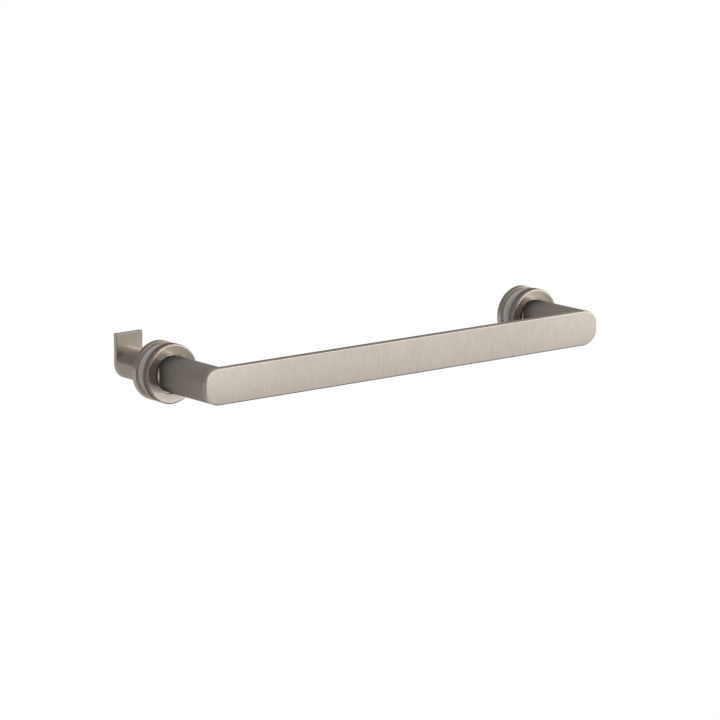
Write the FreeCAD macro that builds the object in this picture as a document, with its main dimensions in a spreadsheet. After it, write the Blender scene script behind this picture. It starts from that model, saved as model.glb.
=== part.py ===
import FreeCAD, Part
import Sketcher
import math
import os
import re

# Through-glass shower door handle: a flat bar on two posts outside the glass, a robe hook inside.
# X runs along the bar, +Y goes from the hand side into the glass, Z is up.
# The origin lies on the glass's outer face, midway between the two glass holes.

SIZES = (
    ("post_spacing", 305.0),            # centre to centre of the glass holes
    ("bar_height", 24.0),               # also the round of the bar ends and of the posts
    ("bar_thickness", 4.5),
    ("bar_projection", 57.0),           # glass to the front of the bar
    ("end_flat", 8.2),                  # upright flat at each bar end and on each post
    ("end_blend", 8.0),                 # round between the flat and the end's arc
    ("edge_round", 1.0),                # along the bar's front edge, where the hand goes
    ("edge_break", 0.4),                # chamfer on the bar's back edge and on the hook plate
    ("spigot_diameter", 12.0),
    ("spigot_length", 1.6),
    ("spigot_relief", 0.2),             # depth left free in front of a spigot
    ("rosette_diameter", 39.0),
    ("front_rosette_thickness", 5.5),
    ("rear_rosette_thickness", 4.5),
    ("rosette_chamfer", 0.7),
    ("seat_depth", 2.0),                # recess that a post stands in
    ("seat_clearance", 0.8),            # radial shadow gap around it
    ("run_out", 1.0),                   # slope at a post's foot, where its flats end
    ("gasket_outer", 34.0),
    ("gasket_inner", 16.0),
    ("gasket_thickness", 1.0),
    ("glass_thickness", 6.0),
    ("glass_hole", 12.0),
    ("stud_diameter", 8.0),
    ("stud_clearance", 0.25),           # radial, in the rosettes
    ("stud_in_post", 14.0),
    ("stud_in_hook", 10.0),
    ("stud_in_cap", 5.0),
    ("tap_relief", 1.0),                # full-width depth beyond a stud's end
    ("shoulder_clearance", 0.25),       # radial, the stud's shoulder in the glass hole
    ("shoulder_relief", 0.5),           # the shoulder stays this much short of the clamping length
    ("hook_diameter", 21.0),            # the stem, and the width of the hook plate
    ("hook_projection", 35.0),          # glass to the near face of the hook plate
    ("hook_rise", 20.0),                # stem axis to the plate's top
    ("hook_thickness", 3.0),
    ("cap_diameter", 21.0),
    ("cap_height", 9.0),
    ("cap_chamfer", 0.5),
    ("key_width", 5.0),                 # across the flats of the cap's hex socket
    ("key_depth", 2.0),
)

# Lengths that several pieces share, as formulas of those sizes.
END_ROUND = "bar_height / 2"
BAR_BACK = "(bar_projection - bar_thickness)"
POST_FOOT = "(gasket_thickness + front_rosette_thickness - seat_depth)"
REAR_SEAT = "(glass_thickness + gasket_thickness + rear_rosette_thickness)"
STUD_RADIUS = "stud_diameter / 2"
STUD_HOLE = "(stud_diameter / 2 + stud_clearance)"
STUD_TIP = f"({POST_FOOT} + stud_in_post)"

LEFT, RIGHT = "-post_spacing / 2", "post_spacing / 2"
ABOUT_X, ABOUT_Z = (1, 0, 0), (0, 0, 1)

doc = FreeCAD.newDocument("shower_door_handle")
sheet = doc.addObject("Spreadsheet::Sheet", "Sizes")
for row, (alias, number) in enumerate(SIZES, start=1):
    sheet.set(f"A{row}", alias)
    sheet.set(f"B{row}", str(number))
    sheet.setAlias(f"B{row}", alias)
doc.recompute()
size = {alias: float(sheet.get(alias)) for alias, _ in SIZES}


def bind(thing, path, text):
    """Drive a property from the sheet; the formula names the sizes by their aliases."""
    thing.setExpression(path, re.sub(r"\b(?!sqrt\b)[a-z]\w*", r"Sizes.\g<0>", text))


def body_at(label, x, y, turn=None):
    """A body with its local origin at x, y on the glass holes' level, given a half turn about an axis."""
    body = doc.addObject("PartDesign::Body", label)
    body.Label = label
    if turn:
        body.Placement.Rotation = FreeCAD.Rotation(FreeCAD.Vector(*turn), 180)
    bind(body, "Placement.Base.x", x)
    bind(body, "Placement.Base.y", y)
    return body


def sketch_on(body, role, name):
    sketch = body.newObject("Sketcher::SketchObject", f"{body.Label}_{name}")
    plane = next(p for p in body.Origin.OriginFeatures if p.Role == role)
    sketch.AttachmentSupport = [(plane, "")]
    sketch.MapMode = "FlatFace"
    return sketch


def tie(sketch, *rules):
    for rule in rules:
        sketch.addConstraint(Sketcher.Constraint(*rule))


def drive(sketch, name, text, *rule):
    """A named dimension of the sketch, bound to the sheet."""
    index = sketch.addConstraint(Sketcher.Constraint(*rule))
    sketch.renameConstraint(index, name)
    bind(sketch, f"Constraints.{name}", text)


def line(x0, y0, x1, y1):
    return Part.LineSegment(FreeCAD.Vector(x0, y0), FreeCAD.Vector(x1, y1))


def arc(x, radius, start, end):
    circle = Part.Circle(FreeCAD.Vector(x, 0), FreeCAD.Vector(0, 0, 1), radius)
    return Part.ArcOfCircle(circle, math.radians(start), math.radians(end))


def extrude(body, kind, name, sketch, length, back=False):
    feature = body.newObject(f"PartDesign::{kind}", f"{body.Label}_{name}")
    feature.Profile = sketch
    feature.Reversed = back
    bind(feature, "Length", length)
    doc.recompute()
    return feature


def turned_profile(body, name, points):
    """A closed outline of (radius, height) formulas beside the body's Y axis."""
    sketch = sketch_on(body, "XY_Plane", name)
    count = len(points)
    spread = [(20 + 10 * math.cos(2 * math.pi * i / count), 20 + 10 * math.sin(2 * math.pi * i / count))
              for i in range(count)]
    for i in range(count):
        sketch.addGeometry(line(*spread[i], *spread[(i + 1) % count]))
    tie(sketch, *[("Coincident", i, 2, (i + 1) % count, 1) for i in range(count)])
    for i, (radius, height) in enumerate(points):
        if radius == "0":
            tie(sketch, ("PointOnObject", i, 1, -2))
        else:
            drive(sketch, f"radius_{i}", radius, "DistanceX", -1, 1, i, 1, spread[i][0])
        if height == "0":
            tie(sketch, ("PointOnObject", i, 1, -1))
        else:
            drive(sketch, f"height_{i}", height, "DistanceY", -1, 1, i, 1, spread[i][1])
    return sketch


def turn(body, kind, name, points):
    """Revolve an outline about the body's Y axis, to add or to cut."""
    sketch = turned_profile(body, f"{name}_profile", points)
    feature = body.newObject(f"PartDesign::{kind}", f"{body.Label}_{name}")
    feature.Profile = sketch
    feature.ReferenceAxis = (sketch, ["V_Axis"])
    feature.Angle = 360
    doc.recompute()
    return feature


def names(shape, kind, test):
    parts = shape.Edges if kind == "Edge" else shape.Faces
    return [f"{kind}{i}" for i, part in enumerate(parts, start=1) if test(part)]


def upright_flat_edges(shape, reach):
    """The long edges where a flat meets the round: they run along Y at the flat's distance."""
    def test(edge):
        ends = [v.Point for v in edge.Vertexes]
        return (len(ends) == 2 and abs(ends[0].y - ends[1].y) > 0.5 * size["bar_thickness"]
                and all(abs(abs(p.x) - reach) < 1e-4 for p in ends))
    return names(shape, "Edge", test)


def dress(body, kind, name, base, parts, path, text):
    """A fillet or chamfer on the named edges or faces of the last feature."""
    feature = body.newObject(f"PartDesign::{kind}", f"{body.Label}_{name}")
    feature.Base = (base, parts)
    bind(feature, path, text)
    doc.recompute()
    return feature


def broad_faces(shape, levels):
    """The flat sides of a plate that lies across the Y axis, at the given heights."""
    def test(face):
        return (isinstance(face.Surface, Part.Plane) and abs(face.Surface.Axis.y) > 0.999
                and any(abs(face.CenterOfMass.y - level) < 1e-4 for level in levels))
    return names(shape, "Face", test)


def must_cut(before, after):
    if not after.Shape.Volume < before.Shape.Volume - 1e-6:
        raise RuntimeError(f"{after.Label} removes nothing")


half = size["bar_height"] / 2
flat = size["end_flat"] / 2
reach = math.sqrt(half ** 2 - flat ** 2)
lean = math.degrees(math.asin(flat / half))


# Front bar: rounded ends centred on the posts, each closed by an upright flat.
bar = body_at("front_bar", "0", f"-{BAR_BACK}", ABOUT_X)
outline = sketch_on(bar, "XZ_Plane", "outline")
mid = size["post_spacing"] / 2
for piece in (
    line(-mid, half, mid, half),
    arc(mid, half, lean, 90),
    line(mid + reach, flat, mid + reach, -flat),
    arc(mid, half, 270, 360 - lean),
    line(mid, -half, -mid, -half),
    arc(-mid, half, 180 + lean, 270),
    line(-mid - reach, -flat, -mid - reach, flat),
    arc(-mid, half, 90, 180 - lean),
):
    outline.addGeometry(piece)
tie(
    outline,
    ("Tangent", 0, 2, 1, 2), ("Coincident", 1, 1, 2, 1), ("Coincident", 2, 2, 3, 2), ("Tangent", 3, 1, 4, 1),
    ("Tangent", 4, 2, 5, 2), ("Coincident", 5, 1, 6, 1), ("Coincident", 6, 2, 7, 2), ("Tangent", 7, 1, 0, 1),
    ("Coincident", 1, 3, 3, 3), ("Coincident", 5, 3, 7, 3), ("PointOnObject", 1, 3, -1),
    ("Symmetric", 5, 3, 1, 3, -1, 1), ("Horizontal", 0), ("Horizontal", 4), ("Vertical", 2), ("Vertical", 6),
    ("Equal", 1, 3),
)
drive(outline, "spacing", "post_spacing", "DistanceX", 5, 3, 1, 3, 2 * mid)
drive(outline, "round", END_ROUND, "Radius", 1, half)
drive(outline, "right_flat", "end_flat", "DistanceY", 2, 2, 2, 1, 2 * flat)
drive(outline, "left_flat", "end_flat", "DistanceY", 6, 1, 6, 2, 2 * flat)
plate = extrude(bar, "Pad", "plate", outline, "bar_thickness", back=True)
corners = upright_flat_edges(plate.Shape, mid + reach)
ends = dress(bar, "Fillet", "end_blend", plate, corners, "Radius", "end_blend")
thick = size["bar_thickness"]
rounded = dress(bar, "Fillet", "edge_round", ends, broad_faces(ends.Shape, [thick]), "Radius", "edge_round")
edges = dress(bar, "Chamfer", "edge_break", rounded, broad_faces(rounded.Shape, [0]), "Size", "edge_break")

sockets = sketch_on(bar, "XZ_Plane", "spigot_holes")
for x in (-mid, mid):
    sockets.addGeometry(Part.Circle(FreeCAD.Vector(x, 0), FreeCAD.Vector(0, 0, 1), size["spigot_diameter"] / 2))
tie(sockets, ("PointOnObject", 1, 3, -1), ("Symmetric", 0, 3, 1, 3, -1, 1), ("Equal", 0, 1))
drive(sockets, "spacing", "post_spacing", "DistanceX", 0, 3, 1, 3, 2 * mid)
drive(sockets, "bore", "spigot_diameter / 2", "Radius", 0, size["spigot_diameter"] / 2)
must_cut(edges, extrude(bar, "Pocket", "spigot_sockets", sockets, "spigot_length + spigot_relief"))


def post(label, x, way):
    """Post with the bar end's flat on both sides, a spigot into the bar and a round, tapped foot."""
    body = body_at(label, x, f"-{POST_FOOT}", way)
    section = sketch_on(body, "XZ_Plane", "section")
    for piece in (arc(0, half, lean, 180 - lean), line(-reach, flat, -reach, -flat),
                  arc(0, half, 180 + lean, 360 - lean), line(reach, -flat, reach, flat)):
        section.addGeometry(piece)
    tie(section, ("Coincident", 0, 3, -1, 1), ("Coincident", 2, 3, -1, 1), ("Coincident", 0, 2, 1, 1),
        ("Coincident", 1, 2, 2, 1), ("Coincident", 2, 2, 3, 1), ("Coincident", 3, 2, 0, 1),
        ("Vertical", 1), ("Vertical", 3), ("Equal", 0, 2))
    drive(section, "round", END_ROUND, "Radius", 0, half)
    drive(section, "left_flat", "end_flat", "DistanceY", 1, 2, 1, 1, 2 * flat)
    drive(section, "right_flat", "end_flat", "DistanceY", 3, 1, 3, 2, 2 * flat)
    column = extrude(body, "Pad", "column", section, f"{BAR_BACK} - {POST_FOOT}", back=True)
    corners = upright_flat_edges(column.Shape, reach)
    sides = dress(body, "Fillet", "flat_blend", column, corners, "Radius", "end_blend")
    foot = turn(body, "Revolution", "foot", (
        ("0", "0"), (END_ROUND, "0"), (END_ROUND, "seat_depth"),
        (f"{END_ROUND} - run_out", "seat_depth + 1.5 * run_out"), ("0", "seat_depth + 1.5 * run_out"),
    ))
    if not foot.Shape.Volume > sides.Shape.Volume + 1e-6:
        raise RuntimeError(f"{label} has no round foot")
    top = f"{BAR_BACK} - {POST_FOOT}"
    spigot = turn(body, "Revolution", "spigot", (
        ("0", f"{top} - spigot_length"), ("spigot_diameter / 2", f"{top} - spigot_length"),
        ("spigot_diameter / 2", f"{top} + spigot_length"), ("0", f"{top} + spigot_length"),
    ))
    if not spigot.Shape.Volume > foot.Shape.Volume + 1e-6:
        raise RuntimeError(f"{label} has no spigot")
    must_cut(spigot, turn(body, "Groove", "tapped_hole", (
        ("0", "0"), (STUD_RADIUS, "0"), (STUD_RADIUS, "stud_in_post + tap_relief"),
        ("0", "stud_in_post + tap_relief"),
    )))


post("left_post", LEFT, ABOUT_Z)
post("right_post", RIGHT, ABOUT_X)


def rosette(label, x, y, way, thickness, face):
    """Turned disc with a hole for the stud; face is the outline of its outer side, from the rim inwards."""
    rim = "rosette_diameter / 2"
    turn(body_at(label, x, y, way), "Revolution", "disc", (
        (STUD_HOLE, "0"), (rim, "0"), (rim, f"{thickness} - rosette_chamfer"),
        (f"{rim} - rosette_chamfer", thickness), *face,
    ))


front, rear = "front_rosette_thickness", "rear_rosette_thickness"
seat = "bar_height / 2 + seat_clearance"
front_face = ((seat, front), (seat, f"{front} - seat_depth"), (STUD_HOLE, f"{front} - seat_depth"))
rear_face = ((STUD_HOLE, rear),)
for side, x in (("left", LEFT), ("right", RIGHT)):
    rosette(f"{side}_front_rosette", x, "-gasket_thickness", ABOUT_X, front, front_face)
    rosette(f"{side}_rear_rosette", x, "glass_thickness + gasket_thickness", None, rear, rear_face)


def gaskets(label, y, way):
    """The flat washers on one side of the glass, one at each hole."""
    body = body_at(label, "0", y, way)
    body.AllowCompound = True
    rings = sketch_on(body, "XZ_Plane", "rings")
    for x in (-mid, mid):
        for wide in (size["gasket_outer"] / 2, size["gasket_inner"] / 2):
            rings.addGeometry(Part.Circle(FreeCAD.Vector(x, 0), FreeCAD.Vector(0, 0, 1), wide))
    tie(rings, ("Coincident", 0, 3, 1, 3), ("Coincident", 2, 3, 3, 3), ("Equal", 0, 2), ("Equal", 1, 3),
        ("PointOnObject", 2, 3, -1), ("Symmetric", 0, 3, 2, 3, -1, 1))
    drive(rings, "spacing", "post_spacing", "DistanceX", 0, 3, 2, 3, 2 * mid)
    drive(rings, "outer", "gasket_outer / 2", "Radius", 0, size["gasket_outer"] / 2)
    drive(rings, "inner", "gasket_inner / 2", "Radius", 1, size["gasket_inner"] / 2)
    extrude(body, "Pad", "washers", rings, "gasket_thickness", back=True)


gaskets("front_gaskets", "0", ABOUT_X)
gaskets("rear_gaskets", "glass_thickness", None)


def stud(label, x, held):
    """Stud in a post; its shoulder clamps the front rosette and stands in the glass hole."""
    shoulder = "glass_hole / 2 - shoulder_clearance"
    front = f"{STUD_TIP} - gasket_thickness"
    rear = f"{STUD_TIP} + glass_thickness + gasket_thickness - shoulder_relief"
    end = f"{STUD_TIP} + {REAR_SEAT} + {held}"
    turn(body_at(label, x, f"-{STUD_TIP}"), "Revolution", "rod", (
        ("0", "0"), (STUD_RADIUS, "0"), (STUD_RADIUS, front), (shoulder, front),
        (shoulder, rear), (STUD_RADIUS, rear), (STUD_RADIUS, end), ("0", end),
    ))


stud("left_stud", LEFT, "stud_in_hook")
stud("right_stud", RIGHT, "stud_in_cap")

# Hook stem: tapped foot on the rear rosette, spigot into the plate.
stem_top = f"glass_thickness + hook_projection - {REAR_SEAT}"
turn(body_at("hook_stem", LEFT, REAR_SEAT), "Revolution", "stem", (
    ("0", "stud_in_hook + tap_relief"), (STUD_RADIUS, "stud_in_hook + tap_relief"),
    (STUD_RADIUS, "0"), ("hook_diameter / 2", "0"), ("hook_diameter / 2", stem_top),
    ("spigot_diameter / 2", stem_top), ("spigot_diameter / 2", f"{stem_top} + spigot_length"),
    ("0", f"{stem_top} + spigot_length"),
))

# Hook plate: round below, concentric with the stem, and cut square above it.
hook = body_at("hook_plate", LEFT, "glass_thickness + hook_projection")
tongue = sketch_on(hook, "XZ_Plane", "tongue")
wide, rise = size["hook_diameter"] / 2, size["hook_rise"]
for piece in (arc(0, wide, 180, 360), line(wide, 0, wide, rise), line(wide, rise, -wide, rise),
              line(-wide, rise, -wide, 0)):
    tongue.addGeometry(piece)
tie(tongue, ("Coincident", 0, 3, -1, 1), ("Tangent", 0, 2, 1, 1), ("Coincident", 1, 2, 2, 1),
    ("Coincident", 2, 2, 3, 1), ("Tangent", 3, 2, 0, 1), ("Vertical", 1), ("Horizontal", 2), ("Vertical", 3))
drive(tongue, "round", "hook_diameter / 2", "Radius", 0, wide)
drive(tongue, "rise", "hook_rise", "DistanceY", -1, 1, 1, 2, rise)
tongue_pad = extrude(hook, "Pad", "plate", tongue, "hook_thickness", back=True)
sides = broad_faces(tongue_pad.Shape, [0, size["hook_thickness"]])
tongue_edges = dress(hook, "Chamfer", "edge_break", tongue_pad, sides, "Size", "edge_break")
spigot_hole = sketch_on(hook, "XZ_Plane", "spigot_hole")
spigot_hole.addGeometry(Part.Circle(FreeCAD.Vector(), FreeCAD.Vector(0, 0, 1), size["spigot_diameter"] / 2))
tie(spigot_hole, ("Coincident", 0, 3, -1, 1))
drive(spigot_hole, "bore", "spigot_diameter / 2", "Radius", 0, size["spigot_diameter"] / 2)
must_cut(tongue_edges, extrude(hook, "Pocket", "spigot_socket", spigot_hole, "spigot_length + spigot_relief"))

# Cap nut: closes the right rear rosette, with a blind tapped hole and a hex socket outside.
cap = body_at("right_cap_nut", RIGHT, f"{REAR_SEAT} + cap_height", ABOUT_X)
tap_end = "cap_height - stud_in_cap - tap_relief"
nut = turn(cap, "Revolution", "nut", (
    ("0", "0"), ("cap_diameter / 2 - cap_chamfer", "0"), ("cap_diameter / 2", "cap_chamfer"),
    ("cap_diameter / 2", "cap_height"), (STUD_RADIUS, "cap_height"), (STUD_RADIUS, tap_end), ("0", tap_end),
))
key = sketch_on(cap, "XZ_Plane", "key_socket")
corner = size["key_width"] / math.sqrt(3)
spots = [(corner * math.cos(math.radians(60 * i)), corner * math.sin(math.radians(60 * i))) for i in range(6)]
for i in range(6):
    key.addGeometry(line(*spots[i], *spots[(i + 1) % 6]))
key.addGeometry(Part.Circle(FreeCAD.Vector(), FreeCAD.Vector(0, 0, 1), corner), True)
tie(key, *[("Coincident", i, 2, (i + 1) % 6, 1) for i in range(6)])
tie(key, ("Coincident", 6, 3, -1, 1), *[("PointOnObject", i, 1, 6) for i in range(6)])
tie(key, *[("Equal", 0, i) for i in range(1, 6)], ("Horizontal", 1))
drive(key, "corner", "key_width / sqrt(3)", "Radius", 6, corner)
must_cut(nut, extrude(cap, "Pocket", "key", key, "key_depth"))

doc.recompute()
bodies = [thing for thing in doc.Objects if thing.TypeId == "PartDesign::Body"]
for thing in doc.Objects:
    if "Invalid" in thing.State or "Error" in thing.State:
        raise RuntimeError(f"{thing.Label} failed")
for body in bodies:
    pieces = 2 if body.Label.endswith("gaskets") else 1
    if body.Shape.isNull() or not body.Shape.isValid() or len(body.Shape.Solids) != pieces:
        raise RuntimeError(f"{body.Label} is not {pieces} valid solid")

os.makedirs("parts", exist_ok=True)
for body in bodies:
    body.Shape.exportStep(f"parts/{body.Label}.step")
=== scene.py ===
import math
import bmesh
import bpy
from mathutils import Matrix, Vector


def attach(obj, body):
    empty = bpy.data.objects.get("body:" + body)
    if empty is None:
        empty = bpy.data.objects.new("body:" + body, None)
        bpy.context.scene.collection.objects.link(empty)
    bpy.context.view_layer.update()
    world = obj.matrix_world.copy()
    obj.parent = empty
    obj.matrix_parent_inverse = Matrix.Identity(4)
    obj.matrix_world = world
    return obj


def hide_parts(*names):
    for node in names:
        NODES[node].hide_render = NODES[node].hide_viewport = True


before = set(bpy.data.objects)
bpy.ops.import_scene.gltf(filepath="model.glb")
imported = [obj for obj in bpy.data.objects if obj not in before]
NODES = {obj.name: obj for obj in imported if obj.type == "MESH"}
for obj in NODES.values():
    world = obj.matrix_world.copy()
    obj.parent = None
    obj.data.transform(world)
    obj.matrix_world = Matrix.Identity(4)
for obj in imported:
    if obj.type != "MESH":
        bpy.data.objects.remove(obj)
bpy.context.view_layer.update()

scene = bpy.context.scene
MM = 0.001


def extent(node, axis):
    """A CAD node's least and greatest place along an axis, in millimetres."""
    places = [vertex.co[axis] / MM for vertex in NODES[node].data.vertices]
    return round(min(places), 3), round(max(places), 3)


# Sizes read from the frame, in millimetres: x runs along the bar, y from the hand to the back, z up.
POST_X = sum(extent("right_front_rosette", 0)) / 2      # each post's distance from the bar's middle
SIDES = (("left", -POST_X), ("right", POST_X))
BAR_FRONT, BAR_BACK = extent("front_bar", 1)
BAR_HALF = extent("front_bar", 2)[1]        # half the bar's height, and the round of its ends
ROSETTE_RADIUS = extent("right_front_rosette", 2)[1]
FRONT_FACE, FRONT_BASE = extent("right_front_rosette", 1)
REAR_BASE, REAR_FACE = extent("right_rear_rosette", 1)
SEAT_FLOOR = extent("right_post", 1)[1]     # the post's foot stands on it
FOOT_RADIUS = extent("right_post", 2)[1]
STUD_START = extent("left_stud", 1)[0]
STUD_END = {"left": extent("left_stud", 1)[1], "right": extent("right_stud", 1)[1]}
SHOULDER_RADIUS = extent("left_stud", 2)[1]

# Sizes that the extents don't give, the same as in the frame.
END_FLAT = 8.2              # upright flat at each end of the bar
END_BLEND = 8.0             # round between that flat and the end's arc
EDGE_ROUND = 1.0            # along the bar's front edge
EDGE_BREAK = 0.4            # along its back edge
SPIGOT_RADIUS, SPIGOT_DEPTH = 6.0, 1.8
HOLE_RADIUS = 4.25          # through each rosette, for the stud
SEAT_RADIUS = 12.8
RIM_CHAMFER = 0.7
SHOULDER = (-1.0, 6.5)      # from and to, along the stud

# Finer shapes that only this script gives.
CROWN, END_CROWN = 0.18, 0.3    # the bar's middle line stands proud of its long edges, more so at its ends
END_RAMP = (85.0, 150.0)       # between these distances from the bar's middle the crown deepens and the colour lightens, more and more
HOLLOW = 0.65               # a front rosette's face falls this much from its rim to the lip of the seat
THREAD_RADIUS, THREAD_CORE, THREAD_PITCH = 4.0, 3.35, 1.25
SHOULDER_CHAMFER = 0.25

# Width by which sharp edges are eased.
BAR_EASE, FINE_EASE, NUT_EASE, REAR_EASE, FRONT_EASE = 0.1, 0.12, 0.15, 0.25, 0.4
GASKET_EASE, STUD_EASE = 0.2, 0.05
EASE_STEPS = 3
SHARP = math.radians(25)    # edges bent more than this are sharp

# Sections of the rosettes: radius, place along y, and the share of the ease that the corner there gets.
FRONT_SECTION = ((HOLE_RADIUS, FRONT_BASE, 0.25),
                 (ROSETTE_RADIUS, FRONT_BASE, 0.5),
                 (ROSETTE_RADIUS, FRONT_FACE + RIM_CHAMFER, 0.5),
                 (ROSETTE_RADIUS - RIM_CHAMFER, FRONT_FACE, 1.0),
                 (SEAT_RADIUS, FRONT_FACE + HOLLOW, 1.0),
                 (SEAT_RADIUS, SEAT_FLOOR, 0.25),
                 (HOLE_RADIUS, SEAT_FLOOR, 0.25))
REAR_SECTION = ((HOLE_RADIUS, REAR_BASE, 0.4),
                (ROSETTE_RADIUS, REAR_BASE, 1.0),
                (ROSETTE_RADIUS, REAR_FACE - RIM_CHAMFER, 1.0),
                (ROSETTE_RADIUS - RIM_CHAMFER, REAR_FACE, 1.0),
                (HOLE_RADIUS, REAR_FACE, 0.4))

# How finely the pieces are divided.
ARC_STEPS, BLEND_STEPS, ROUND_STEPS = 24, 16, 8
FACE_ROWS, FACE_COLUMNS = 10, 36
SOCKET_STEPS, DISC_STEPS, ROD_STEPS, PITCH_STEPS = 48, 128, 48, 14


# Colours and nodes

def linear(code):
    """sRGB hex to linear RGBA."""
    parts = [int(code[i:i + 2], 16) / 255 for i in (1, 3, 5)]
    return (*[c / 12.92 if c <= 0.04045 else ((c + 0.055) / 1.055) ** 2.4 for c in parts], 1.0)


def add(tree, kind, settings=None, **inputs):
    """One node with its settings. Inputs, by name or by number as i0, are values or what to link from."""
    node = tree.nodes.new(kind)
    for key, value in (settings or {}).items():
        setattr(node, key, value)
    for key, value in inputs.items():
        numbered = key[0] == "i" and key[1:].isdigit()
        socket = node.inputs[int(key[1:]) if numbered else key.replace("_", " ")]
        source = value.outputs[0] if isinstance(value, bpy.types.Node) else value
        if isinstance(source, bpy.types.NodeSocket):
            tree.links.new(source, socket)
        else:
            socket.default_value = source
    return node


def new_material(name):
    """An empty material and its node tree."""
    material = bpy.data.materials.new(name)
    material.use_nodes = True
    tree = material.node_tree
    tree.nodes.clear()
    return material, tree


def shade_ramp(tree, value, low, high, low_code, high_code):
    """Colour that follows a value between two levels."""
    level = add(tree, "ShaderNodeMapRange", Value=value, From_Min=low, From_Max=high)
    return add(tree, "ShaderNodeMix", {"data_type": "RGBA"}, i0=level,
               i6=linear(low_code), i7=linear(high_code)).outputs[2]


def axis_distance(tree, split):
    """Distance to the nearer post's axis."""
    side = add(tree, "ShaderNodeMath", {"operation": "ABSOLUTE"}, i0=split.outputs[0])
    off = add(tree, "ShaderNodeMath", {"operation": "SUBTRACT"}, i0=side, i1=POST_X * MM)
    flat = add(tree, "ShaderNodeCombineXYZ", X=off, Y=split.outputs[2])
    return add(tree, "ShaderNodeVectorMath", {"operation": "LENGTH"}, i0=flat).outputs["Value"]


# Materials

def brushed_plate(name, dark, light):
    """Satin nickel plate, belt-brushed up and down: fine upright lines that smear reflections sideways."""
    # The grit leaves lines 0.2 mm apart; they are drawn 0.7 mm apart, or the picture could not hold them.
    line, length = 0.7 * MM, 10 * MM
    # The belt's strokes, side by side, differ a little.
    stroke, stroke_length = 11 * MM, 60 * MM
    stroke_share, end_share = 0.2, 0.22
    material, tree = new_material(name)
    place = add(tree, "ShaderNodeTexCoord").outputs["Object"]
    lines = add(tree, "ShaderNodeMapping", Vector=place, Scale=(1 / line, 1 / line, 1 / length))
    grain = add(tree, "ShaderNodeTexNoise", Vector=lines, Scale=1.0, Detail=3.0, Roughness=0.7)
    strokes = add(tree, "ShaderNodeMapping", Vector=place,
                  Scale=(1 / stroke, 1 / stroke, 1 / stroke_length))
    bands = add(tree, "ShaderNodeTexNoise", Vector=strokes, Scale=1.0, Detail=2.0, Roughness=0.5)
    both = add(tree, "ShaderNodeMath", {"operation": "MULTIPLY_ADD"}, i0=bands, i1=stroke_share, i2=grain)
    # The colour is a little lighter towards the two ends.
    split = add(tree, "ShaderNodeSeparateXYZ", Vector=place)
    side = add(tree, "ShaderNodeMath", {"operation": "ABSOLUTE"}, i0=split.outputs[0])
    toward_end = add(tree, "ShaderNodeMapRange", {"interpolation_type": "SMOOTHSTEP"}, Value=side,
                From_Min=END_RAMP[0] * MM, From_Max=END_RAMP[1] * MM)
    tone = add(tree, "ShaderNodeMath", {"operation": "MULTIPLY_ADD"}, i0=toward_end, i1=end_share, i2=both)
    colour = shade_ramp(tree, tone.outputs[0], 0.25, 1.18, dark, light)
    rough = add(tree, "ShaderNodeMapRange", Value=grain, From_Min=0.25, From_Max=0.75,
                To_Min=0.34, To_Max=0.29)
    bump = add(tree, "ShaderNodeBump", Strength=0.08, Distance=0.02 * MM, Height=grain)
    across = add(tree, "ShaderNodeTangent", {"direction_type": "UV_MAP", "uv_map": "brush"})
    metal = add(tree, "ShaderNodeBsdfPrincipled", Base_Color=colour, Metallic=1.0, Roughness=rough,
                Anisotropic=0.6, Tangent=across, Normal=bump)
    add(tree, "ShaderNodeOutputMaterial", Surface=metal)
    return material


def turned_metal(name, spacing, dark, light, roughness, anisotropic, relief):
    """Metal finished on a lathe: lines that run round the axis and smear reflections across themselves."""
    material, tree = new_material(name)
    place = add(tree, "ShaderNodeTexCoord").outputs["Object"]
    split = add(tree, "ShaderNodeSeparateXYZ", Vector=place)
    ring = add(tree, "ShaderNodeCombineXYZ", X=axis_distance(tree, split), Y=split.outputs[1])
    # The tool leaves lines 0.1 mm apart; the spacing, in mm, is wider, or the picture could not hold them.
    lines = add(tree, "ShaderNodeMapping", Vector=ring, Scale=(1 / (spacing * MM),) * 3)
    grain = add(tree, "ShaderNodeTexNoise", {"noise_dimensions": "2D"}, Vector=lines, Scale=1.0,
                Detail=2.0, Roughness=0.6)
    colour = shade_ramp(tree, grain.outputs[0], 0.3, 0.7, dark, light)
    rough = add(tree, "ShaderNodeMapRange", Value=grain, From_Min=0.25, From_Max=0.75,
                To_Min=roughness + 0.02, To_Max=roughness - 0.02)
    bump = add(tree, "ShaderNodeBump", Strength=relief, Distance=0.02 * MM, Height=grain)
    across = add(tree, "ShaderNodeTangent", {"direction_type": "UV_MAP", "uv_map": "brush"})
    metal = add(tree, "ShaderNodeBsdfPrincipled", Base_Color=colour, Metallic=1.0, Roughness=rough,
                Anisotropic=anisotropic, Tangent=across, Normal=bump)
    add(tree, "ShaderNodeOutputMaterial", Surface=metal)
    return material


def moulded_silicone(name, dark, light):
    """Silicone rubber washers, moulded: milky, soft-edged, with a faint mottled bloom."""
    bloom_size = 1.5 * MM
    material, tree = new_material(name)
    place = add(tree, "ShaderNodeTexCoord").outputs["Object"]
    bloom = add(tree, "ShaderNodeTexNoise", Vector=place, Scale=1 / bloom_size, Detail=4.0)
    colour = shade_ramp(tree, bloom.outputs[0], 0.35, 0.7, dark, light)
    bump = add(tree, "ShaderNodeBump", Strength=0.15, Distance=0.05 * MM, Height=bloom)
    rubber = add(tree, "ShaderNodeBsdfPrincipled", Base_Color=colour, Roughness=0.5, IOR=1.41,
                 Transmission_Weight=0.2, Normal=bump)
    add(tree, "ShaderNodeOutputMaterial", Surface=rubber)
    return material


# Bar and hook plate: fine upright lines, and a soft sheen that spreads sideways.
PLATE = brushed_plate("satin nickel plate, brushed upright", "#BFB7AE", "#DFD7CD")
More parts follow.
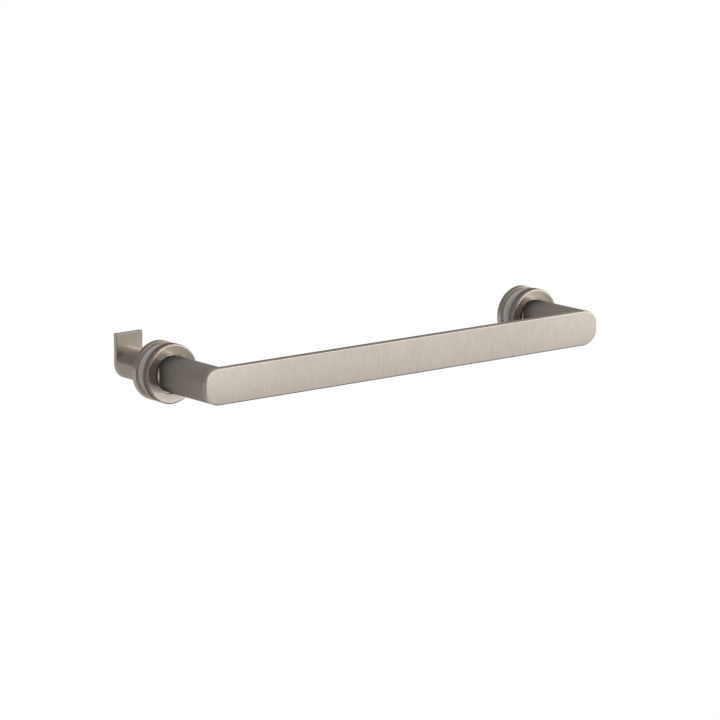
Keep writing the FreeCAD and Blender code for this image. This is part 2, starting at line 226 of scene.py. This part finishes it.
# Posts and hook stem: the same plating, with lines too faint to tell apart. Their colour is a shade darker
# as painted shade, for how dark the posts look where they mirror their dark surroundings.
POST_PAINTED_DARKER = turned_metal("satin nickel post, turned", 0.9, "#C1B9B1", "#C6BEB6", roughness=0.29,
                    anisotropic=0.4, relief=0.01)
# Rosettes and cap nut: a little shinier, so that light and dark fan out from the middle.
ROSETTE = turned_metal("satin nickel rosette, turned", 0.5, "#D0C7BC", "#E0D8CD", roughness=0.26,
                       anisotropic=0.4, relief=0.04)
# Studs: plain steel, greyer and colder than the nickel.
STEEL = turned_metal("stainless steel stud, turned", 0.5, "#A3A3A2", "#BDBDBC", roughness=0.32,
                     anisotropic=0.4, relief=0.05)
# Gaskets: pale, milky rubber.
SILICONE = moulded_silicone("silicone gasket, moulded", "#E2E1DC", "#EEEDE9")


# Finish of the pieces

def plate_lines(face):
    """Plates: the brush lines stand upright on broad faces and follow the outline on narrow ones."""
    broad = abs(face.normal.y) > 0.6
    if broad:
        return lambda p: (p.x, p.z)
    along = face.normal.cross(Vector((0, 1, 0))).normalized()
    return lambda p: (p.y, p.dot(along))


def turned_lines(face):
    """Turned pieces: the tool's lines run round the axis."""
    centre = math.copysign(POST_X * MM, face.center.x)
    start = math.atan2(face.center.z, face.center.x - centre)
    out = face.normal.x * math.cos(start) + face.normal.z * math.sin(start)

    def place(p):
        turn = (math.atan2(p.z, p.x - centre) - start + math.pi) % (2 * math.pi) - math.pi
        across = out * p.y - face.normal.y * math.hypot(p.z, p.x - centre)
        return across, (start + turn) * ROSETTE_RADIUS * MM
    return place


def brush_map(mesh, lines):
    """UV map whose u runs across the brush lines."""
    layer = mesh.uv_layers.new(name="brush")
    for face in mesh.polygons:
        place = lines(face)
        for loop in face.loop_indices:
            layer.data[loop].uv = place(mesh.vertices[mesh.loops[loop].vertex_index].co)


def finish_piece(node, mesh, material, lines, ease):
    """Ease the marked edges of a mesh, map its brush lines and put it in place of a CAD node."""
    name = node + "_finished"
    work = bpy.data.objects.new(name + "_work", mesh)
    scene.collection.objects.link(work)
    edge = work.modifiers.new("eased", "BEVEL")
    edge.width, edge.segments, edge.limit_method = ease * MM, EASE_STEPS, "WEIGHT"
    edge.use_clamp_overlap = True
    smooth = work.modifiers.new("normals", "WEIGHTED_NORMAL")
    smooth.keep_sharp, smooth.weight = True, 80     # above 50, broad faces count for more
    shape = bpy.data.meshes.new_from_object(work.evaluated_get(bpy.context.evaluated_depsgraph_get()))
    bpy.data.objects.remove(work)
    shape.name = name
    brush_map(shape, lines)
    shape.materials.clear()
    shape.materials.append(material)
    piece = bpy.data.objects.new(name, shape)
    scene.collection.objects.link(piece)
    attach(piece, "root")
    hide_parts(node)


def to_mesh(shape, name):
    """A plain mesh, smooth between its sharp edges, from a shape with its faces turned outwards."""
    for face in shape.faces:
        face.smooth = True
    mesh = bpy.data.meshes.new(name)
    shape.to_mesh(mesh)
    shape.free()
    return mesh


def mark_edges(shape, keep=None):
    """Mark the sharp edges to be eased, apart from those that keep() leaves sharp."""
    weight = shape.edges.layers.float.new("bevel_weight_edge")
    for edge in shape.edges:
        if edge.calc_face_angle() > SHARP:
            edge.smooth = not (keep and keep(edge))
            edge[weight] = 1.0 if edge.smooth else 0.0


def eased(node, material, lines, ease, keep=None):
    """A CAD node's solid with eased edges."""
    shape = bmesh.new()
    shape.from_mesh(NODES[node].data)
    # Points at one place become one, and so do faces in one plane.
    bmesh.ops.remove_doubles(shape, verts=shape.verts, dist=1e-6)
    bmesh.ops.dissolve_limit(shape, angle_limit=math.radians(0.4), verts=shape.verts, edges=shape.edges)
    mark_edges(shape, keep)
    finish_piece(node, to_mesh(shape, node + "_eased"), material, lines, ease)


def at_bar(edge):
    """Whether an edge is where a post meets the bar."""
    return all(vertex.co.y < (BAR_BACK + 0.5) * MM for vertex in edge.verts)


def at_bar_back(edge):
    """Whether an edge lies in the plane of the bar's back."""
    return all(vertex.co.y > (BAR_BACK - 0.1) * MM for vertex in edge.verts)


def circle(x, y, radius, count):
    """Points in metres on a circle round a post's axis, from sizes in millimetres."""
    turns = [2 * math.pi * i / count for i in range(count)]
    return [((x + radius * math.cos(a)) * MM, y * MM, radius * math.sin(a) * MM) for a in turns]


def wall(shape, near, far):
    """A strip of faces between two rings of points."""
    for i in range(len(near)):
        j = (i + 1) % len(near)
        shape.faces.new((near[i], near[j], far[j], far[i]))


def ring_edges(shape, ring):
    """The edges that join the points of a ring."""
    return [shape.edges.get((ring[i - 1], ring[i])) for i in range(len(ring))]


# Bar

def crown(x, z):
    """How far the bar's front falls back from its middle line to its edges, more so near its ends."""
    toward_end = min(max((abs(x) - END_RAMP[0]) / (END_RAMP[1] - END_RAMP[0]), 0.0), 1.0)
    toward_end *= toward_end * (3 - 2 * toward_end)
    return (CROWN + (END_CROWN - CROWN) * toward_end) * (z / BAR_HALF) ** 2


def bar_outline(inset):
    """The bar's outline, clockwise from the top right, drawn in by an inset in millimetres."""
    reach = math.sqrt(BAR_HALF ** 2 - (END_FLAT / 2) ** 2)
    blend_x = reach - END_BLEND
    blend_z = math.sqrt((BAR_HALF - END_BLEND) ** 2 - blend_x ** 2)
    meet = math.atan2(blend_z, blend_x)
    arc, blend = BAR_HALF - inset, END_BLEND - inset
    upper = []
    for i in range(ARC_STEPS + 1):
        a = math.pi / 2 + (meet - math.pi / 2) * i / ARC_STEPS
        upper.append((POST_X + arc * math.cos(a), arc * math.sin(a)))
    for i in range(1, BLEND_STEPS + 1):
        a = meet * (1 - i / BLEND_STEPS)
        upper.append((POST_X + blend_x + blend * math.cos(a), blend_z + blend * math.sin(a)))
    flat = [(upper[-1][0], blend_z * (1 - 2 * i / FACE_ROWS)) for i in range(1, FACE_ROWS)]
    straight = [(POST_X * (1 - 2 * i / FACE_COLUMNS), inset - BAR_HALF) for i in range(1, FACE_COLUMNS)]
    half = upper + flat + [(x, -z) for x, z in reversed(upper)] + straight
    return half + [(-x, -z) for x, z in half]


def front_face(shape, rim):
    """Fill the bar's front with a crowned grid, in columns from the top of its rim to the bottom."""
    upper, half = ARC_STEPS + BLEND_STEPS + 1, len(rim) // 2
    lower = upper + FACE_ROWS - 1
    tops = rim[half + lower:] + rim[:upper]
    bottoms = rim[lower:half + upper][::-1]
    columns = [[tops[0], *rim[half + upper:half + lower][::-1], bottoms[0]]]
    for top, bottom in zip(tops[1:-1], bottoms[1:-1]):
        x = top.co.x
        levels = [top.co.z * (1 - 2 * i / FACE_ROWS) for i in range(1, FACE_ROWS)]
        places = [(x, (BAR_FRONT + crown(x / MM, z / MM)) * MM, z) for z in levels]
        columns.append([top, *[shape.verts.new(place) for place in places], bottom])
    columns.append([tops[-1], *rim[upper:lower], bottoms[-1]])
    for near, far in zip(columns, columns[1:]):
        for i in range(FACE_ROWS):
            shape.faces.new((near[i], far[i], far[i + 1], near[i + 1]))


def bar_plate():
    """The bar: a crowned plate with a rounded front edge, a broken back edge and two sockets for spigots."""
    profile = []        # inset from the outline, place along y, share of the crown
    for i in range(ROUND_STEPS + 1):
        a = math.pi / 2 * i / ROUND_STEPS
        profile.append((EDGE_ROUND * (1 - math.sin(a)), BAR_FRONT + EDGE_ROUND * (1 - math.cos(a)), 1))
    profile += [(0, BAR_BACK - EDGE_BREAK, 0), (EDGE_BREAK, BAR_BACK, 0)]
    shape = bmesh.new()
    loops = []
    for inset, y, share in profile:
        places = [(x * MM, (y + share * crown(x, z)) * MM, z * MM) for x, z in bar_outline(inset)]
        loops.append([shape.verts.new(place) for place in places])
    for near, far in zip(loops, loops[1:]):
        wall(shape, near, far)
    front_face(shape, loops[0])
    rims = ring_edges(shape, loops[-1])
    for _, x in SIDES:
        mouth, floor = [[shape.verts.new(place) for place in circle(x, y, SPIGOT_RADIUS, SOCKET_STEPS)]
                        for y in (BAR_BACK, BAR_BACK - SPIGOT_DEPTH)]
        wall(shape, mouth, floor)
        shape.faces.new(floor)
        rims += ring_edges(shape, mouth)
    bmesh.ops.triangle_fill(shape, use_beauty=True, edges=rims, normal=(0, 1, 0))
    bmesh.ops.recalc_face_normals(shape, faces=shape.faces)
    mark_edges(shape, at_bar_back)
    finish_piece("front_bar", to_mesh(shape, "bar_plate"), PLATE, plate_lines, BAR_EASE)


# Rosettes

def rosette(node, x, section, ease):
    """A disc: a section of (radius, place, share of the ease) turned about the post's axis."""
    shape = bmesh.new()
    weight = shape.edges.layers.float.new("bevel_weight_edge")
    rings = []
    for radius, y, _ in section:
        rings.append([shape.verts.new(place) for place in circle(x, y, radius, DISC_STEPS)])
    for near, far in zip(rings, rings[1:] + rings[:1]):
        wall(shape, near, far)
    for ring, (_, _, share) in zip(rings, section):
        for edge in ring_edges(shape, ring):
            edge[weight] = share
    bmesh.ops.recalc_face_normals(shape, faces=shape.faces)
    finish_piece(node, to_mesh(shape, node + "_turned"), ROSETTE, turned_lines, ease)


# Studs

def threaded_rod():
    """Node tree for a length of rod: a thread cut between two radii, or a plain rod with chamfered ends."""
    math_node = "ShaderNodeMath"
    tree = bpy.data.node_groups.new("threaded rod", "GeometryNodeTree")
    tree.interface.new_socket("Rod", in_out="OUTPUT", socket_type="NodeSocketGeometry")
    for name in ("Start", "End", "Radius", "Core", "Pitch", "Run-out", "Step"):
        tree.interface.new_socket(name, in_out="INPUT", socket_type="NodeSocketFloat")
    tree.interface.new_socket("Plain", in_out="INPUT", socket_type="NodeSocketBool")
    tree.interface.new_socket("Metal", in_out="INPUT", socket_type="NodeSocketMaterial")
    given = add(tree, "NodeGroupInput").outputs
    # A round bar along Y, divided finely enough to carry the thread.
    start = add(tree, "ShaderNodeCombineXYZ", Y=given["Start"])
    end = add(tree, "ShaderNodeCombineXYZ", Y=given["End"])
    axis = add(tree, "GeometryNodeCurvePrimitiveLine", Start=start, End=end)
    length = add(tree, math_node, {"operation": "SUBTRACT"}, i0=given["End"], i1=given["Start"])
    steps = add(tree, math_node, {"operation": "DIVIDE"}, i0=length, i1=given["Step"])
    line = add(tree, "GeometryNodeResampleCurve", Curve=axis, Count=steps)
    profile = add(tree, "GeometryNodeCurvePrimitiveCircle", Resolution=ROD_STEPS, Radius=given["Radius"])
    bar = add(tree, "GeometryNodeCurveToMesh", Curve=line, Profile_Curve=profile, Fill_Caps=True)
    # The thread climbs by one pitch a turn, with a narrow flat along its crest and its root.
    split = add(tree, "ShaderNodeSeparateXYZ", Vector=add(tree, "GeometryNodeInputPosition"))
    angle = add(tree, math_node, {"operation": "ARCTAN2"}, i0=split.outputs[2], i1=split.outputs[0])
    turn = add(tree, math_node, {"operation": "DIVIDE"}, i0=angle, i1=2 * math.pi)
    pitches = add(tree, math_node, {"operation": "DIVIDE"}, i0=split.outputs[1], i1=given["Pitch"])
    total = add(tree, math_node, {"operation": "ADD"}, i0=pitches, i1=turn)
    climb = add(tree, math_node, {"operation": "FRACT"}, i0=total)
    swing = add(tree, math_node, {"operation": "MULTIPLY_ADD"}, i0=climb, i1=2.0, i2=-1.0)
    flank = add(tree, math_node, {"operation": "ABSOLUTE"}, i0=swing)
    tooth = add(tree, "ShaderNodeMapRange", Value=flank, From_Min=0.12, From_Max=0.88)
    height = add(tree, math_node, {"operation": "MAXIMUM"}, i0=tooth, i1=given["Plain"])
    # Both ends taper to the core.
    from_start = add(tree, math_node, {"operation": "SUBTRACT"}, i0=split.outputs[1], i1=given["Start"])
    to_end = add(tree, math_node, {"operation": "SUBTRACT"}, i0=given["End"], i1=split.outputs[1])
    nearer = add(tree, math_node, {"operation": "MINIMUM"}, i0=from_start, i1=to_end)
    fade = add(tree, "ShaderNodeMapRange", Value=nearer, From_Max=given["Run-out"])
    depth = add(tree, math_node, {"operation": "SUBTRACT"}, i0=given["Radius"], i1=given["Core"])
    share = add(tree, math_node, {"operation": "MULTIPLY"}, i0=height, i1=fade)
    radius = add(tree, math_node, {"operation": "MULTIPLY_ADD"}, i0=depth, i1=share, i2=given["Core"])
    # Each point keeps its place along the axis and moves to the radius found.
    flat = add(tree, "ShaderNodeCombineXYZ", X=split.outputs[0], Z=split.outputs[2])
    way = add(tree, "ShaderNodeVectorMath", {"operation": "NORMALIZE"}, i0=flat)
    out = add(tree, "ShaderNodeVectorMath", {"operation": "SCALE"}, i0=way, Scale=radius)
    along = add(tree, "ShaderNodeCombineXYZ", Y=split.outputs[1])
    place = add(tree, "ShaderNodeVectorMath", {"operation": "ADD"}, i0=out, i1=along)
    cut = add(tree, "GeometryNodeSetPosition", Geometry=bar, Position=place)
    solid = add(tree, "GeometryNodeRealizeInstances", Geometry=cut)
    metal = add(tree, "GeometryNodeSetMaterial", Geometry=solid, Material=given["Metal"])
    add(tree, "NodeGroupOutput", i0=metal)
    return tree


ROD = threaded_rod()


def rod_mesh(start, end, radius, core, pitch, run_out, step, plain=False):
    """One length of rod as a plain mesh, its sizes in millimetres."""
    sizes = {"Start": start, "End": end, "Radius": radius, "Core": core, "Pitch": pitch, "Run-out": run_out,
             "Step": step}
    values = {name: size * MM for name, size in sizes.items()} | {"Plain": plain, "Metal": STEEL}
    work = bpy.data.objects.new("rod_work", bpy.data.meshes.new("rod_work"))
    scene.collection.objects.link(work)
    rod = work.modifiers.new("rod", "NODES")
    rod.node_group = ROD
    for item in ROD.interface.items_tree:
        if item.in_out == "INPUT":
            rod[item.identifier] = values[item.name]
    mesh = bpy.data.meshes.new_from_object(work.evaluated_get(bpy.context.evaluated_depsgraph_get()))
    work.modifiers.remove(rod)
    bpy.data.objects.remove(work)
    return mesh


def threaded_length(start, end):
    """A threaded length of a stud."""
    return rod_mesh(start, end, THREAD_RADIUS, THREAD_CORE, THREAD_PITCH, run_out=THREAD_PITCH,
                    step=THREAD_PITCH / PITCH_STEPS)


def stud(side, x):
    """A stud: a plain shoulder between two cut threads, which run one pitch into it."""
    front, back = SHOULDER
    lengths = [threaded_length(STUD_START, front + THREAD_PITCH),
               rod_mesh(front, back, SHOULDER_RADIUS, SHOULDER_RADIUS - SHOULDER_CHAMFER, pitch=1.0,
                        run_out=SHOULDER_CHAMFER, step=SHOULDER_CHAMFER, plain=True),
               threaded_length(back - THREAD_PITCH, STUD_END[side])]
    shape = bmesh.new()
    for mesh in lengths:
        shape.from_mesh(mesh)
    bmesh.ops.translate(shape, verts=shape.verts, vec=(x * MM, 0, 0))
    bmesh.ops.recalc_face_normals(shape, faces=shape.faces)
    mesh = to_mesh(shape, side + "_stud_cut")
    mesh.set_sharp_from_angle(angle=math.radians(30))
    finish_piece(side + "_stud", mesh, STEEL, turned_lines, STUD_EASE)


# The pieces

bar_plate()
eased("hook_plate", PLATE, plate_lines, FINE_EASE)
for side, x in SIDES:
    eased(f"{side}_post", POST_PAINTED_DARKER, turned_lines, FINE_EASE, at_bar)
    rosette(f"{side}_front_rosette", x, FRONT_SECTION, FRONT_EASE)
    rosette(f"{side}_rear_rosette", x, REAR_SECTION, REAR_EASE)
eased("hook_stem", POST_PAINTED_DARKER, turned_lines, FINE_EASE)
eased("right_cap_nut", ROSETTE, turned_lines, NUT_EASE)
for node in ("front_gaskets", "rear_gaskets"):
    eased(node, SILICONE, turned_lines, GASKET_EASE)
for side, x in SIDES:
    stud(side, x)


# Stage, light and camera

def stage_mesh(name, verts, faces, material):
    """A piece of the studio."""
    mesh = bpy.data.meshes.new(name)
    mesh.from_pydata(verts, [], faces)
    mesh.materials.append(material)
    piece = bpy.data.objects.new(name, mesh)
    scene.collection.objects.link(piece)
    return piece


def only_reflected(piece):
    """Hide a card from all but reflections."""
    piece.visible_camera = piece.visible_diffuse = piece.visible_shadow = False


def seen_white(tree):
    """1 where the camera, a reflection or a clear material looks, 0 for plain light."""
    path = add(tree, "ShaderNodeLightPath").outputs
    seen = add(tree, "ShaderNodeMath", {"operation": "MAXIMUM"}, i0=path["Is Camera Ray"],
               i1=path["Is Glossy Ray"])
    return add(tree, "ShaderNodeMath", {"operation": "MAXIMUM"}, i0=seen, i1=path["Is Transmission Ray"])


def paper_floor():
    """A wide floor of white paper, well below the handle."""
    reach, low = 30.0, -1.2
    paper, tree = new_material("white paper floor")
    plain = add(tree, "ShaderNodeBsdfDiffuse", Color=linear("#F4F4F4"))
    glow = add(tree, "ShaderNodeEmission", Color=(1, 1, 1, 1), Strength=1.0)
    both = add(tree, "ShaderNodeMixShader", i0=seen_white(tree), i1=plain, i2=glow)
    add(tree, "ShaderNodeOutputMaterial", Surface=both)
    corners = [(-reach, -reach, low), (reach, -reach, low), (reach, reach, low), (-reach, reach, low)]
    stage_mesh("floor", corners, [(0, 1, 2, 3)], paper)


def card_paper(name, level):
    """Grey card of an even level of light."""
    material, tree = new_material(name)
    glow = add(tree, "ShaderNodeEmission", Color=(level, level * 0.97, level * 0.93, 1), Strength=1.0)
    add(tree, "ShaderNodeOutputMaterial", Surface=glow)
    return material


def card(name, turn, rise, distance, level):
    """A curved card that only reflections see, between two turns to the right and two rises, in degrees."""
    columns, rows = 16, 12
    verts, faces = [], []
    for j in range(rows + 1):
        up = math.radians(rise[0] + (rise[1] - rise[0]) * j / rows)
        for i in range(columns + 1):
            right = math.radians(turn[0] + (turn[1] - turn[0]) * i / columns)
            way = Vector((math.sin(right) * math.cos(up), -math.cos(right) * math.cos(up), math.sin(up)))
            verts.append(way * distance)
    for j in range(rows):
        for i in range(columns):
            k = j * (columns + 1) + i
            faces.append((k, k + 1, k + columns + 2, k + columns + 1))
    only_reflected(stage_mesh(name, verts, faces, card_paper(name + " paper", level)))


def one_sided(tree, glow):
    """Light on the front of a card, which is clear from behind."""
    clear = add(tree, "ShaderNodeBsdfTransparent")
    behind = add(tree, "ShaderNodeNewGeometry").outputs["Backfacing"]
    return add(tree, "ShaderNodeMixShader", i0=behind, i1=glow, i2=clear)


def shade_ring(name, x, y, radii, levels):
    """A ring of card, with a level of light at each edge, which only reflections that run backwards see."""
    count = 48
    paper, tree = new_material(name + " paper")
    split = add(tree, "ShaderNodeSeparateXYZ", Vector=add(tree, "ShaderNodeTexCoord").outputs["Object"])
    level = add(tree, "ShaderNodeMapRange", Value=axis_distance(tree, split), From_Min=radii[0] * MM,
                From_Max=radii[1] * MM, To_Min=levels[0], To_Max=levels[1])
    glow = add(tree, "ShaderNodeEmission", Color=(1, 0.97, 0.93, 1), Strength=level)
    add(tree, "ShaderNodeOutputMaterial", Surface=one_sided(tree, glow))
    verts = circle(x, y, radii[0], count) + circle(x, y, radii[1], count)
    faces = [(i, count + i, count + (i + 1) % count, (i + 1) % count) for i in range(count)]
    only_reflected(stage_mesh(name, verts, faces, paper))


def flag(name, across, y, up, level):
    """A small upright card, which only reflections that run forwards see."""
    paper, tree = new_material(name + " paper")
    glow = add(tree, "ShaderNodeEmission", Color=(1, 0.97, 0.93, 1), Strength=level)
    add(tree, "ShaderNodeOutputMaterial", Surface=one_sided(tree, glow))
    corners = [(across[0], up[0]), (across[0], up[1]), (across[1], up[1]), (across[1], up[0])]
    verts = [(x * MM, y * MM, z * MM) for x, z in corners]
    only_reflected(stage_mesh(name, verts, [(0, 1, 2, 3)], paper))


def studio_world():
    """White all round, and a little less of it as plain light."""
    world = bpy.data.worlds.new("studio")
    world.use_nodes = True
    tree = world.node_tree
    tree.nodes.clear()
    sky = add(tree, "ShaderNodeMix", {"data_type": "RGBA"}, i0=seen_white(tree), i6=(0.75, 0.75, 0.75, 1),
              i7=(1, 1, 1, 1))
    light = add(tree, "ShaderNodeBackground", Color=sky.outputs[2], Strength=1.0)
    add(tree, "ShaderNodeOutputWorld", Surface=light)
    scene.world = world


def softbox(name, place, aim, size, power):
    """A square soft light."""
    lamp = bpy.data.lights.new(name, "AREA")
    lamp.shape, lamp.size, lamp.energy = "SQUARE", size, power
    box = bpy.data.objects.new(name, lamp)
    box.location = place
    box.rotation_euler = (Vector(aim) - Vector(place)).to_track_quat("-Z", "Y").to_euler()
    scene.collection.objects.link(box)


paper_floor()
# Cards round the handle: turn and rise in degrees, distance in metres, level of light.
# The bar's front mirrors the front ones, the edge of its left end the left ones, the posts the back ones.
card("camera_card", (-50, -1), (-52, 70), 2.0, 0.8)
card("left_card", (-112, -84), (-45, 45), 2.0, 0.4)
card("left_strip", (-83, -67), (-35, 10), 2.0, 1.0)
card("left_front_card", (-66, -50), (-45, 45), 2.0, 0.3)
card("front_high_card", (0, 80), (2, 27), 1.8, 1.9)
card("front_top_card", (-1, 80), (27, 78), 1.8, 0.28)
card("front_low_card", (8, 80), (-52, -15), 1.6, 0.57)
card("low_front_card", (-80, 40), (-88, -52), 1.2, 0.3)
card("floor_flag", (40, 155), (-40, -80), 1.1, 0.03)
card("right_card", (80, 112), (0, 60), 1.6, 0.48)
card("back_top_card", (112, 248), (0, 65), 1.4, 0.2)
card("back_left_card", (160, 248), (-60, 0), 1.4, 0.46)
card("back_right_card", (112, 160), (-60, -28), 1.4, 0.38)
# Rings and flags by each fixing: places, radii and reach in millimetres, then levels of light.
# The posts mirror two rings between the rosettes. A dark one just over the front rosette hides it from
# the post's foot, and the seat lies in shade. A flag at the right darkens the rosette's right side, and
# a larger one at the left darkens what the post and the rosette's left side mirror.
MIDDLE = (FRONT_BASE + REAR_BASE) / 2
CLEAR = 0.1     # from a ring to the faces by it
FOOT_SHADE = (FOOT_RADIUS + CLEAR, ROSETTE_RADIUS - CLEAR)
SEAT_SHADE = (FOOT_RADIUS + CLEAR, SEAT_RADIUS - CLEAR)
for side, x in SIDES:
    shade_ring(f"{side}_near_shade", x, MIDDLE, (21, 34), (0.1, 0.26))
    shade_ring(f"{side}_far_shade", x, MIDDLE, (34, 62), (0.26, 0.32))
    shade_ring(f"{side}_foot_shade", x, FRONT_FACE - CLEAR, FOOT_SHADE, (0.03, 0.14))
    shade_ring(f"{side}_seat_shade", x, SEAT_FLOOR - CLEAR, SEAT_SHADE, (0.02, 0.02))
    flag(f"{side}_flag", (x + 23, x + 42), -27, (-8, 10), 0.32)
    flag(f"{side}_post_flag", (x - 138, x - FOOT_RADIUS - 1), BAR_BACK + 2.5, (-110, 140), 0.075)
# A flag beside the bar's left end, just in front of it, darkens the edge there.
LEFT_REACH = -POST_X - BAR_HALF     # of the left end's arc
flag("left_end_flag", (LEFT_REACH - 13, LEFT_REACH + 0.4), BAR_FRONT - 3, (-16, 16), 0.03)
studio_world()
softbox("key", place=(1.3, -1.0, 1.7), aim=(0, 0, 0), size=1.2, power=5)

# The camera stands in front, to the left and above.
CAMERA_PLACE = (-1.61112, -2.03004, 0.52153)
LOOK_DOWN, LOOK_RIGHT = 11.62, 38.52        # degrees
lens = bpy.data.cameras.new("camera")
lens.sensor_width, lens.lens = 36.0, 200.0
lens.clip_start, lens.clip_end = 0.05, 100.0
camera = bpy.data.objects.new("camera", lens)
camera.location = CAMERA_PLACE
camera.rotation_euler = (math.radians(90 - LOOK_DOWN), 0, math.radians(-LOOK_RIGHT))
scene.collection.objects.link(camera)
scene.camera = camera

scene.view_settings.view_transform = "Standard"
